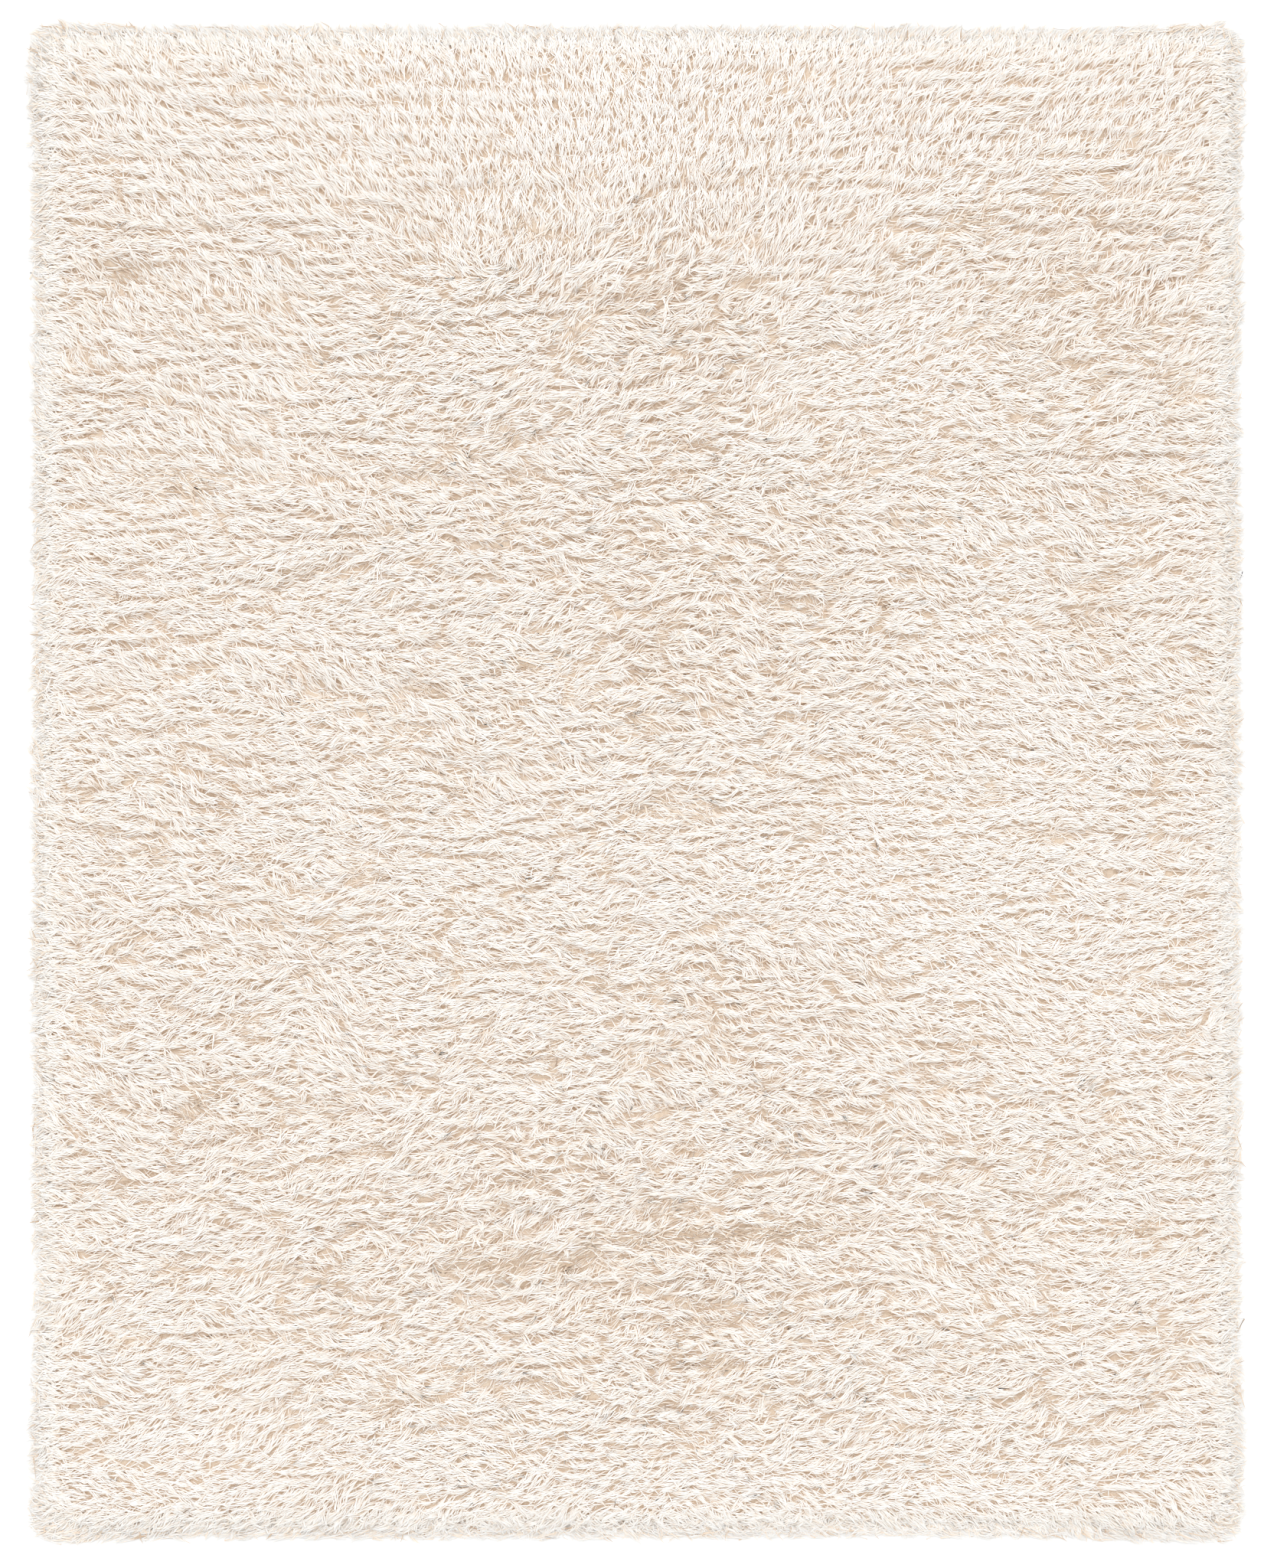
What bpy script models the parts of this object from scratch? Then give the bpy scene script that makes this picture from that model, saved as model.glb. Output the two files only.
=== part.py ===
"""Shag rug: a lumpy, edge-to-edge slab of long yarn pile with locks of pile hanging over its rim.

One solid. Metres, +Z up, X across the rug, Y along it, origin under its middle on the floor.
Run with: blender --background --python part.py
"""

import math

import bmesh
import bpy
from mathutils import Matrix, Vector, noise
from mathutils.geometry import delaunay_2d_cdt

# Driving dimensions
RUG_WIDTH = 2.44
RUG_LENGTH = 3.05
PILE_HEIGHT = 0.047
CORNER_RADIUS = 0.085

# The rim: a low wall all round, with one flat lock of pile lying out from each stretch of it
LOCK_COUNT = 300
LOCK_REACH = 0.034
LOCK_UNEVEN = 0.30
LOCK_SWEEP = 1.0
LOCK_SWAY = 0.15
STRETCH_UNEVEN = 0.25
WALL_HEIGHT = 0.024
WALL_UNEVEN = 0.008
WAIST_REACH = 0.55
WAIST_WIDTH = 0.78
WAIST_HEIGHTS = (0.009, 0.017)
SHOULDER_INSET = 0.026
SHOULDER_HEIGHT = 0.039

# The pile's surface: wandering cross rows that part in places, under uneven lumps and broad swells
ROW_PITCH = 0.076
ROW_DEPTH = 0.010
ROW_WANDER = 0.050
WANDER_LENGTH = 1.1
WANDER_WIDTH = 0.62
PARTING_LENGTH = 0.32
PARTING_WIDTH = 0.14
PARTED_SHARE = 0.35
PARTING_CONTRAST = 1.3
LUMP_LENGTH = 0.150
LUMP_WIDTH = 0.070
LUMP_RISE = 0.009
SWELL_SIZE = 0.59
SWELL_RISE = 0.005
SWEEP_SIZE = 0.45
CREST_STEP = 0.064
EDGE_MARGIN = 0.052

# Triangles on the top are longer across the rug than along it, by one over this
TRIANGLE_SQUEEZE = 0.6
SAME_POINT = 1e-7

PILE_COLOUR = (0.85, 0.77, 0.68, 1.0)
PILE_ROUGHNESS = 0.95

# Where the outline strays from a straight edge: side, place along it, how far out, half length
EDGE_SWELLS = (
    ("left", 1.405, 0.010, 0.060),
    ("left", 0.350, -0.003, 0.250),
    ("left", -0.985, -0.011, 0.070),
    ("left", -1.400, 0.003, 0.120),
    ("right", 1.350, 0.008, 0.110),
    ("right", -0.210, -0.007, 0.160),
    ("right", -0.980, -0.007, 0.060),
    ("right", -1.330, 0.006, 0.150),
    ("top", -1.130, 0.004, 0.080),
    ("top", 0.180, 0.007, 0.110),
    ("top", 0.830, -0.006, 0.180),
    ("bottom", -1.050, 0.009, 0.110),
    ("bottom", 0.520, -0.007, 0.300),
    ("bottom", 1.100, 0.006, 0.140),
)
SIDE_NORMALS = {
    "left": Vector((-1, 0)),
    "right": Vector((1, 0)),
    "top": Vector((0, 1)),
    "bottom": Vector((0, -1)),
}

# Hollows where the pile parts, and ridges where it is heaped: middle x, y, half sizes, tilt in degrees, rise
HEAPS = (
    (-0.07, -0.855, 0.34, 0.026, 2.0, -0.011),
    (-0.62, -0.915, 0.33, 0.024, 4.0, -0.009),
    (0.14, -0.915, 0.30, 0.026, 1.0, 0.007),
    (-1.02, -0.855, 0.16, 0.020, -2.0, 0.006),
    (-0.80, 0.600, 0.38, 0.024, 3.0, -0.008),
    (-1.04, 1.010, 0.09, 0.026, 10.0, -0.009),
    (-0.52, 0.930, 0.15, 0.022, 0.0, -0.008),
    (-0.64, 0.420, 0.13, 0.036, 30.0, -0.008),
    (-0.03, 0.250, 0.14, 0.075, -20.0, -0.007),
    (0.36, 0.390, 0.10, 0.055, 40.0, -0.006),
    (0.92, 0.350, 0.12, 0.060, 0.0, -0.009),
    (0.98, 1.110, 0.09, 0.035, -15.0, -0.008),
    (-1.03, -0.140, 0.10, 0.028, 0.0, -0.007),
    (0.13, -1.040, 0.13, 0.030, -12.0, -0.007),
    (-0.45, -0.350, 0.22, 0.022, 3.0, -0.006),
    (0.00, -0.430, 0.15, 0.035, 10.0, -0.006),
    (0.92, -0.830, 0.20, 0.028, 5.0, -0.007),
    (-0.72, -0.700, 0.20, 0.030, 15.0, -0.006),
    (0.28, -0.200, 0.26, 0.040, -8.0, 0.005),
    (-0.60, 0.260, 0.22, 0.040, 10.0, 0.005),
    (0.40, 0.780, 0.24, 0.070, 25.0, 0.005),
    (-0.35, 1.330, 0.40, 0.060, 0.0, 0.004),
)


def clear_scene():
    for old in list(bpy.data.objects):
        bpy.data.objects.remove(old)


def smooth_step(share):
    share = min(max(share, 0.0), 1.0)
    return share * share * (3.0 - 2.0 * share)


def along_rounded_rectangle(distance, half_x, half_y, radius):
    """The point and the outward normal that far round the outline, from the right side's lower end."""
    along, normal = Vector((0, 1)), Vector((1, 0))
    reach, half_side = half_x, half_y
    while True:
        straight = 2 * (half_side - radius)
        if distance < straight:
            return normal * reach + along * (distance - straight / 2), normal
        distance -= straight
        arc = radius * math.pi / 2
        if distance < arc:
            turned = Matrix.Rotation(distance / radius, 2) @ normal
            centre = normal * (reach - radius) + along * (half_side - radius)
            return centre + turned * radius, turned
        distance -= arc
        along, normal = -normal, along
        reach, half_side = half_side, reach


def edge_swell(point, normal):
    """How far the outline lies outside the plain rounded rectangle there."""
    out = 0.0
    for side, place, swell, half_length in EDGE_SWELLS:
        facing = max(0.0, normal.dot(SIDE_NORMALS[side]))
        along = point.y if side in ("left", "right") else point.x
        out += swell * facing * math.exp(-(((along - place) / half_length) ** 2))
    return out


def uneven(x, y, length, width, layer):
    """Smooth unevenness from about -1 to 1, of that size across and along the rug. Each layer is another."""
    return noise.noise(Vector((x / length, y / width, layer)))


def rim_stations():
    """The wall's foot at each end of each lock's stretch, as (point, outward normal), anticlockwise."""
    longer_reach = LOCK_REACH * (1.0 + LOCK_UNEVEN / 2)
    half_x = RUG_WIDTH / 2 - longer_reach
    half_y = RUG_LENGTH / 2 - longer_reach
    radius = CORNER_RADIUS - longer_reach / 2
    perimeter = 4 * (half_x + half_y - 2 * radius) + 2 * math.pi * radius
    stations = []
    for index in range(LOCK_COUNT):
        shift = STRETCH_UNEVEN * noise.cell(Vector((index, 0, 0)))
        distance = perimeter * (index + 0.5 + shift) / LOCK_COUNT
        point, normal = along_rounded_rectangle(distance, half_x, half_y, radius)
        stations.append((point + normal * edge_swell(point, normal), normal))
    return stations


def heap_rise(x, y):
    """What the hollows and heaps add to the pile there."""
    rise = 0.0
    for middle_x, middle_y, half_x, half_y, tilt, height in HEAPS:
        away = Matrix.Rotation(-math.radians(tilt), 2) @ Vector((x - middle_x, y - middle_y))
        rise += height * math.exp(-((away.x / half_x) ** 2) - (away.y / half_y) ** 2)
    return rise


def lumps(x, y):
    return LUMP_RISE * uneven(x, y, LUMP_LENGTH, LUMP_WIDTH, layer=11.0)


def pile_height(x, y, between_rows):
    """The height of the pile's surface away from the rim. The pile parts between two rows, but only in places."""
    parting = PARTED_SHARE + PARTING_CONTRAST * uneven(x, y, PARTING_LENGTH, PARTING_WIDTH, layer=7.0)
    swell = SWELL_RISE * uneven(x, y, SWELL_SIZE, SWELL_SIZE, layer=19.0)
    depth = ROW_DEPTH * max(0.0, parting) if between_rows else 0.0
    return PILE_HEIGHT + lumps(x, y) + swell + heap_rise(x, y) - depth


def surface_points(shoulder):
    """The points of the pile's surface inside the shoulder line, row by row, as (x, y, z)."""
    half_x = max(point.x for point in shoulder) - EDGE_MARGIN
    half_y = max(point.y for point in shoulder) - EDGE_MARGIN
    rows = round(2 * half_y / (ROW_PITCH / 2))
    columns = round(2 * half_x / CREST_STEP)
    points = []
    for row in range(rows + 1):
        level = half_y * (2 * row / rows - 1)
        room = smooth_step((half_y - abs(level)) / ROW_PITCH)
        stagger = 0.25 if row % 2 else -0.25
        for column in range(columns + 1):
            shift = stagger if 0 < column < columns else 0.0
            x = half_x * (2 * (column + shift) / columns - 1)
            y = level + room * ROW_WANDER * uneven(x, level, WANDER_LENGTH, WANDER_WIDTH, layer=3.0)
            points.append(Vector((x, y, pile_height(x, y, between_rows=row % 2 == 0))))
    return points


def make_rim(model, stations):
    """The wall all round and the shoulder above it. Returns the wall's foot, its faces and the shoulder's ring."""
    foot, brow, shoulder = [], [], []
    for point, normal in stations:
        bump = uneven(point.x, point.y, LUMP_WIDTH, LUMP_WIDTH, layer=5.0)
        inner = point - normal * SHOULDER_INSET
        foot.append(model.verts.new((*point, 0.0)))
        brow.append(model.verts.new((*point, WALL_HEIGHT + WALL_UNEVEN * bump)))
        shoulder.append(model.verts.new((*inner, SHOULDER_HEIGHT + lumps(*inner))))
    wall = []
    for index in range(LOCK_COUNT):
        after = (index + 1) % LOCK_COUNT
        wall.append(model.faces.new((foot[index], foot[after], brow[after], brow[index])))
        model.faces.new((brow[index], brow[after], shoulder[after], shoulder[index]))
    return foot, wall, shoulder


def cover_top(model, shoulder):
    """Triangles over the whole rug inside the shoulder line, through the points of the pile's surface."""
    inside = surface_points([vert.co for vert in shoulder])
    verts = shoulder + [model.verts.new(point) for point in inside]
    count = len(shoulder)
    border = [(index, (index + 1) % count) for index in range(count)]
    flat = [Vector((vert.co.x * TRIANGLE_SQUEEZE, vert.co.y)) for vert in verts]
    made = delaunay_2d_cdt(flat, border, [], 1, SAME_POINT)
    for triangle in made[2]:
        model.faces.new([verts[made[3][corner][0]] for corner in triangle])


def lock_reach(index, start, end, normal):
    """Where a lock's tip lies from the middle of its root. Whole stretches of the rim lean the same way."""
    sweep = LOCK_SWEEP * uneven(start.x, start.y, SWEEP_SIZE, SWEEP_SIZE, layer=31.0)
    length = LOCK_REACH * (1.0 + LOCK_UNEVEN * noise.cell(Vector((index, 1, 0))))
    sway = LOCK_SWAY * noise.cell(Vector((index, 2, 0)))
    reach = Matrix.Rotation(sweep, 2) @ normal * length + sway * (end - start)
    return Vector((*reach, 0.0))


def grow_locks(model, stations, wall):
    """One tapering four-sided lock of pile on each stretch of the wall, flat on the floor."""
    waists = bmesh.ops.extrude_discrete_faces(model, faces=wall)["faces"]
    tips = []
    for index, waist in enumerate(waists):
        start, start_normal = stations[index]
        end, end_normal = stations[(index + 1) % LOCK_COUNT]
        reach = lock_reach(index, start, end, (start_normal + end_normal).normalized())
        middle = Vector((*(start + end) / 2, 0.0))
        top = WAIST_HEIGHTS[index % len(WAIST_HEIGHTS)]
        for vert in waist.verts:
            place = middle + WAIST_REACH * reach + WAIST_WIDTH * (vert.co - middle)
            vert.co = (place.x, place.y, top if vert.co.z > 0.0 else 0.0)
        tips.append(middle + reach)
    for vert, tip in zip(bmesh.ops.poke(model, faces=waists)["verts"], tips):
        vert.co = tip


def make_rug_mesh():
    model = bmesh.new()
    stations = rim_stations()
    foot, wall, shoulder = make_rim(model, stations)
    cover_top(model, shoulder)
    model.faces.new(list(reversed(foot)))
    grow_locks(model, stations, wall)
    bmesh.ops.recalc_face_normals(model, faces=model.faces)
    mesh = bpy.data.meshes.new("shag_rug")
    model.to_mesh(mesh)
    model.free()
    return mesh


def pile_material():
    material = bpy.data.materials.new("ivory_pile")
    material.use_nodes = True
    surface = material.node_tree.nodes["Principled BSDF"]
    surface.inputs["Base Color"].default_value = PILE_COLOUR
    surface.inputs["Roughness"].default_value = PILE_ROUGHNESS
    material.diffuse_color = PILE_COLOUR
    return material


def make_rug():
    mesh = make_rug_mesh()
    mesh.materials.append(pile_material())
    mesh.shade_smooth()
    rug = bpy.data.objects.new("shag_rug", mesh)
    bpy.context.scene.collection.objects.link(rug)
    return rug


clear_scene()
make_rug()
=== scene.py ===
import math

import bpy
import numpy as np
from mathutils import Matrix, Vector
from mathutils.bvhtree import BVHTree


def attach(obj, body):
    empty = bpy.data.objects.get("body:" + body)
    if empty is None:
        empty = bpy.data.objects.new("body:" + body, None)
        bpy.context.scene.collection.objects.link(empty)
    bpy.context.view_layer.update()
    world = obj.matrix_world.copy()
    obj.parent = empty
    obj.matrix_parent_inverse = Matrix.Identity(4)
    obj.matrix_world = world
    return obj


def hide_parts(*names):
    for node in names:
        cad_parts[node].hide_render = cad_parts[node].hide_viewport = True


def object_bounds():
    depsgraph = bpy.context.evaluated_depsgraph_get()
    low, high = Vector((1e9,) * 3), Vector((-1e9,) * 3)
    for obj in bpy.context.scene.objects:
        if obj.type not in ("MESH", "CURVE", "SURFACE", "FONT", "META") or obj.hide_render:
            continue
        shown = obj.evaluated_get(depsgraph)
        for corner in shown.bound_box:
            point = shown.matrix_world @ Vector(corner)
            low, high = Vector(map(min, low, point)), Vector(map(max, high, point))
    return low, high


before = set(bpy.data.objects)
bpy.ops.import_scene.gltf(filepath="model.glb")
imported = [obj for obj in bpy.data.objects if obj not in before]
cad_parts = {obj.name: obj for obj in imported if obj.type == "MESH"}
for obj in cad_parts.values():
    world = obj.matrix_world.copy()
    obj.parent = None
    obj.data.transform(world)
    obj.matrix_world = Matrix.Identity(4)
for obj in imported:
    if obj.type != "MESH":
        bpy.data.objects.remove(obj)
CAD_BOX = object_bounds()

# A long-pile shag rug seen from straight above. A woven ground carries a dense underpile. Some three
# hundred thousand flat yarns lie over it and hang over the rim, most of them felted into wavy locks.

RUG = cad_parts["shag_rug"]

# The photograph: its frame in pixels, its scale, and the rug's middle in it
PHOTO_SIZE = (1668, 2048)
METRES_PER_PIXEL = 0.001541
RUG_MIDDLE_PIXEL = (831.0, 1021.8)

# The woven ground, and how far the pile hangs past it: further at the corners, and at these places round
# the rug, each with its swell and half its length
GROUND_SIZE = (2.36, 2.975)
GROUND_CORNER = 0.045
GROUND_THICK = 0.0025
GROUND_STEP = 0.08
RIM_REACH = 0.0590
CORNER_REACH = 0.026
RIM_SWELLS = (
    (-1.23, 1.41, 0.013, 0.080), (-1.23, 0.35, -0.003, 0.250), (-1.23, -0.97, -0.007, 0.080),
    (-1.23, -1.36, 0.007, 0.100), (1.23, 1.38, 0.013, 0.110), (1.23, 1.00, 0.004, 0.150),
    (1.23, -1.33, 0.010, 0.150), (-1.13, 1.54, 0.010, 0.080), (0.15, 1.54, -0.003, 0.200),
    (0.80, 1.54, -0.006, 0.200), (-1.10, -1.54, 0.013, 0.080), (0.50, -1.54, -0.007, 0.250),
    (1.08, -1.54, 0.008, 0.120),
)
RUG_SIZE = (GROUND_SIZE[0] + 2 * RIM_REACH, GROUND_SIZE[1] + 2 * RIM_REACH)

# The dense underpile: how far it lies below the pile's top, its height at the ground's edge, how wide it
# curves down there, its least height over the ground, and the gap under it
UNDERPILE_STEP = 0.024
UNDERPILE_DROP = 0.013
UNDERPILE_RIM = 0.010
UNDERPILE_EDGE = 0.022
UNDERPILE_LEAST = 0.003
UNDERPILE_GAP = 0.0003

# Where the yarns lie: at one place in each cell of these steps, rim yarns only in that band along the
# ground's edge, and none nearer than the margin to where the pile's reach ends. Locks are drawn towards the
# crests of the bundles and the middles of the rows of tufts
PILE_SEED = 7
LOCK_STEP = 0.0157
UNDER_STEP = 0.0124
RIM_STEP = 0.0066
RIM_BAND = (-0.032, 0.014)
REACH_MARGIN = 0.010
CREST_PROBE = 0.004
CREST_DRAW = 0.004
ROW_DRAW = 0.5

# Every yarn's line: its points, how many waves it makes, how unevenly it picks its side, how unevenly far
# out it may hang, its least height over the underpile or the floor, how far inside the edge the underpile
# counts, how far its sides stay off the floor, and its spans
LINE_POINTS = 5
LINE_WAVES = (0.5, 1.1)
SIDES_MIX = 0.22
RIM_FUZZ = 0.006
LEAST_HEIGHT = (0.0012, 0.0052)
UNDERPILE_INSET = 0.002
FLOOR_GAP = 0.0006
YARN_SPANS = 2

# The locks: their size, how much they wave and stray, how they fan out from root to tip, and how they lie. A
# lock's root is sunk, its crown stands up, its tip drops, and its middle arches over its sides. In a parting
# all of it is sunk
LOCK_LENGTH = (0.042, 0.082)
LOCK_WIDTH = (0.008, 0.017)
LOCK_WAVE = math.radians(17.6)
LOCK_STRAY = math.radians(14)
FAN = (-0.7, 0.5)
FAN_WIDTH = 0.9
FAN_PLACE = 0.4
LOCK_DEPTH = 0.003
ROOT_DEPTH = 0.008
ROOT_BAND = (0.0, 0.4)
CROWN_RISE = 0.002
TIP_DROP = 0.003
TIP_BAND = (0.6, 1.0)
SUNK_DEPTH = 0.005
LOCK_ARCH = 0.30
LOCK_ROLL = 0.30
LOCK_LEVEL = 0.0019
LOCK_RIM_FUZZ = 0.6 * RIM_FUZZ

# The yarns of a lock: where they start along it, how much of it they cover, where each lies in its share of
# the lock's width, how they splay and curl, and how they lie, roll and taper
YARNS_PER_LOCK = 8
YARN_START = (0.0, 0.48)
YARN_PART = (0.40, 0.62)
YARN_PLACE = (0.1, 0.9)
YARN_SPLAY = math.radians(12)
YARN_CURL = (0.0004, 0.0024)
CURL_TURNS = (0.6, 1.8)
CURL_AT_ROOT = 0.4
YARN_WIDTH = (0.0015, 0.0028)
YARN_ROOT_DEPTH = 0.003
YARN_LEVEL = 0.0014
YARN_ROLL = 0.16
YARN_TAPER = 0.45
TAPER_BAND = (0.4, 1.0)

# The bands of the rug that the locks' pieces cover, each with its lower and upper end
PILE_BANDS = (("upper", 0.5, math.inf), ("middle", -0.5, 0.5), ("lower", -math.inf, -0.5))

# Single yarns: those under the locks, which lie more crosswise, and those that hang over the rim. Where the
# pile lies close they are less deep and lighter, the lighter tone painted light; the under yarns' lower tone
# is painted shade for their depth; and a few are darker than the rest
UNDER_YARN = {
    "length": (0.034, 0.060), "width": (0.0023, 0.0038), "depth": 0.0044, "stray": math.radians(32),
    "tone": 0.66, "tone_noise": 0.18,
}
RIM_YARN = {
    "length": (0.028, 0.048), "width": (0.0022, 0.0036), "depth": 0.002, "stray": math.radians(18),
    "tone": 0.74, "tone_noise": 0.12,
}
SINGLE_WAVE = math.radians(24.2)
SINGLE_LEVEL = 0.0016
SINGLE_ROOT_DEPTH = 0.004
SINGLE_ROOT_BAND = (0.0, 0.3)
SINGLE_ROLL = 0.4
SINGLE_TAPER = 0.35
SINGLE_CLOSE_DEPTH = 0.6
SINGLE_CLOSE_PAINTED_LIGHT = 0.20
SINGLE_DARKEST = 0.4

# How much goes where the pile lies close: of the swirls, the bundles' height, and the locks' length, stray,
# levels and tones' noise
CLOSE_SWIRL = 0.5
CLOSE_BUNDLE = 0.5
CLOSE_LENGTH = 0.3
CLOSE_STRAY = 0.3
CLOSE_LEVEL = 0.6
CLOSE_NOISE = 0.5

# The yarns' tones: the locks' own, how much lighter they are where the pile lies close (painted light, for
# the less shade there), their noise, what each metre of level adds (painted light on high yarn and painted
# shade on low), and how deep a sunk lock counts for the painted shade of partings. The pile's tones lie
# between two of the map's. Over the rim its dark yarns are darker, painted shade between the locks, and all
# others have the rim's own greyer tone, painted shade of the rim's flank. A yarn's tone spreads over its
# width, and the map leaves a margin at its ends
LOCK_TONE = 0.75
LOCK_CLOSE_PAINTED_LIGHT = 0.17
LOCK_NOISE = 0.06
YARN_NOISE = 0.16
LEVEL_PAINTED_LIGHT_AND_SHADE = 12.0
SUNK_PAINTED_SHADE_DEPTH = 0.5
PILE_TONES = (0.03, 0.88)
RIM_FLANK_PAINTED_SHADE_TONE = 0.955
RIM_DARK = 0.60
RIM_GAP_PAINTED_SHADE = 0.20
RIM_TONE_BAND = (-0.006, 0.034)
TONE_SPREAD = 0.016
MAP_MARGIN = 0.02

# How the pile is combed: the slope of its locks in degrees, over the rug's width at each of these heights,
# how far each slope reaches, and the least that a row of them counts. Near the ground's edge the locks turn
# outward
COMB_COLUMNS = (-1.10, -0.75, -0.40, 0.00, 0.35, 0.75, 1.10)
COMB_ROWS = (
    (1.42, (-35, -40, -65, 90, 65, 42, 38)),
    (1.15, (-28, -30, -70, 80, 50, 35, 28)),
    (0.90, (-25, -28, 15, 15, 20, 22, 20)),
    (0.65, (-12, -18, -20, 12, 5, -16, 5)),
    (0.45, (-2, -4, 5, -5, -5, -20, 0)),
    (0.20, (-2, -15, -22, -3, 0, -22, 3)),
    (-0.05, (-10, -20, -22, 5, 5, -14, 3)),
    (-0.30, (2, -12, -5, -5, -10, -18, 14)),
    (-0.55, (5, -4, 0, 0, -15, -2, 10)),
    (-0.80, (4, -12, 14, 8, 2, -2, 0)),
    (-1.05, (10, 8, 6, 4, 4, -1, 5)),
    (-1.30, (4, 15, 8, 0, 8, -6, 0)),
)
COMB_REACH = (0.20, 0.13)
COMB_LEAST = 1e-6
RIM_PULL = 0.8
RIM_TURN = 0.05

# Where the pile is folded down in the photograph, or heaped up where the amount is less than 0: the fold's
# middle and half its length in the photograph's pixels, its tilt in degrees, and the amount
FOLDS = (
    (140, 364, 44, 0, 0.8), (250, 300, 40, 0, 0.6), (470, 356, 24, 0, 0.5), (490, 422, 84, 0, 0.5),
    (320, 436, 24, 0, 0.4), (800, 310, 30, 10, 0.6), (960, 316, 32, 5, 0.8), (860, 380, 50, 15, 0.7),
    (980, 366, 30, -5, 0.5), (826, 420, 32, 15, 0.6), (960, 468, 28, 5, 0.8), (880, 486, 40, 12, 0.5),
    (1020, 544, 50, 0, 0.4), (140, 594, 60, 0, 0.5), (240, 640, 60, 0, 0.5), (560, 626, 68, -3, 1.0),
    (380, 626, 44, 0, 0.5), (410, 750, 56, 25, 0.8), (490, 700, 60, 10, 0.5), (860, 620, 40, 15, 0.5),
    (810, 770, 60, 0, 0.5), (840, 880, 22, 0, 1.0), (820, 840, 50, -8, 0.5), (900, 930, 80, 5, 0.6),
    (1086, 784, 44, 60, 0.6), (1080, 1030, 50, 0, 0.5), (1430, 760, 50, 5, 0.8), (1424, 810, 30, 0, 0.9),
    (1460, 296, 32, -8, 0.9), (1280, 310, 30, 0, 0.4), (1380, 450, 30, 0, 0.6), (1340, 490, 28, 10, 0.5),
    (1440, 496, 24, 0, 0.5), (1464, 644, 40, 20, 0.4), (170, 1120, 40, 0, 0.9), (410, 1264, 24, 20, 0.7),
    (660, 880, 40, 0, 0.5), (880, 1080, 60, 18, 0.5), (880, 1300, 50, 0, 0.5), (940, 1360, 30, 0, 0.5),
    (120, 1550, 60, 0, 0.5), (220, 1566, 40, 0, 0.4), (500, 1490, 40, 15, 0.4), (700, 1540, 40, 0, 0.4),
    (930, 1612, 140, 2, 3.0), (690, 1650, 110, 3, 2.2), (400, 1660, 90, 3, 0.7), (1120, 1600, 60, 8, 0.5),
    (1380, 1610, 64, 3, 0.5), (1484, 1604, 30, 0, 0.8), (940, 1724, 64, 5, 0.9), (860, 1690, 30, 0, 0.6),
    (940, 1810, 40, 10, 0.5), (1160, 1860, 30, 0, 0.5), (260, 1700, 40, 0, 0.4), (120, 1810, 44, 0, 0.3),
    (240, 1900, 40, 0, 0.3), (900, 1880, 30, 10, 0.4), (1200, 1770, 50, 8, 0.4), (1520, 1760, 30, 0, 0.4),
    (170, 1618, 100, -2, -0.8), (940, 1656, 120, 4, -0.6), (640, 610, 80, 0, -0.4),
    (400, 730, 60, 20, -0.4),
)
FOLD_WIDTH = 0.011
# How much darker yarn is in a fold or parting for a depth of 1: painted shade, and painted light on a heap,
# where the depth is below 0
FOLD_PAINTED_SHADE = 0.26
FOLD_WAVE = 0.005
FOLD_WAVE_LENGTH = 0.022
FOLD_WAVE_SHIFT = 9.0

# Where the pile lies smooth and close in the photograph, or tousled and open where the amount is less than
# 0: the patch's middle and half its size in the photograph's pixels, and the amount
PATCHES = (
    (800, 150, 620, 100, 1.0), (1200, 480, 120, 110, 0.8), (1300, 800, 90, 70, 0.6),
    (1100, 1160, 160, 70, 0.7), (1440, 1290, 200, 110, 0.6), (200, 1900, 200, 110, 0.6),
    (1000, 1950, 700, 60, 0.6), (1250, 1020, 200, 80, 0.4), (900, 430, 150, 150, -0.9),
    (1400, 380, 110, 130, -0.7), (940, 800, 180, 120, -0.9), (1420, 790, 70, 70, -0.8),
    (150, 350, 70, 60, -0.5), (920, 1320, 140, 90, -0.6), (600, 1500, 420, 90, -0.5),
    (920, 1700, 220, 130, -0.9), (600, 1650, 260, 60, -0.6), (1180, 1500, 240, 120, -0.5),
    (520, 640, 220, 70, -0.5), (300, 1250, 240, 110, -0.2),
)

# Unevenness over the rug, each as an amount, a length along x and along y, and the seed that places it
CELLS = 256
MIDDLE_CELL = 100.0
PATCH_SWELLS = (0.25, 0.16, 0.09, 29)
BUNDLE_SWERVES = (0.014, 0.09, 0.06, 20)
BUNDLE_WAVERS = (0.005, 0.030, 0.030, 28)
BUNDLES = (1.0, 0.110, 0.032, 25)
PARTING_SWERVES = (0.030, 0.20, 0.10, 21)
PARTINGS = (1.0, 0.085, 0.019, 22)
PARTING_PATCHES = (0.20, 0.35, 0.25, 23)
GAP_PATCHES = (1.0, 0.080, 0.045, 34)
ROW_SWERVES = (0.013, 0.24, 0.16, 26)
ROW_WAVERS = (0.005, 0.06, 0.09, 27)
HEAPS = (0.0020, 0.09, 0.035, 24)
SWIRLS = (math.radians(24), 0.15, 0.11, 31)
SMALL_SWIRLS = (math.radians(28), 0.06, 0.04, 32)

# The thin lines between bundles, the partings at random and the gaps along those lines: where each sets in
# and is full, how much of it there is, and how much of that goes where the pile lies close. Then how deep a
# parting of 1 lies, and the deepest that counts
BUNDLE_LINE = 0.30
PARTING_BAND = (0.35, 0.65)
PARTED = 0.25
PARTED_LESS = 0.20
GAP_BAND = (0.30, 0.70)
GAP_PATCH_BAND = (-0.40, 0.20)
GAPS = 0.80
GAPS_LESS = 0.60
PARTING_DEPTH = 0.011
DEEPEST_PARTING = 1.4

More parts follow.
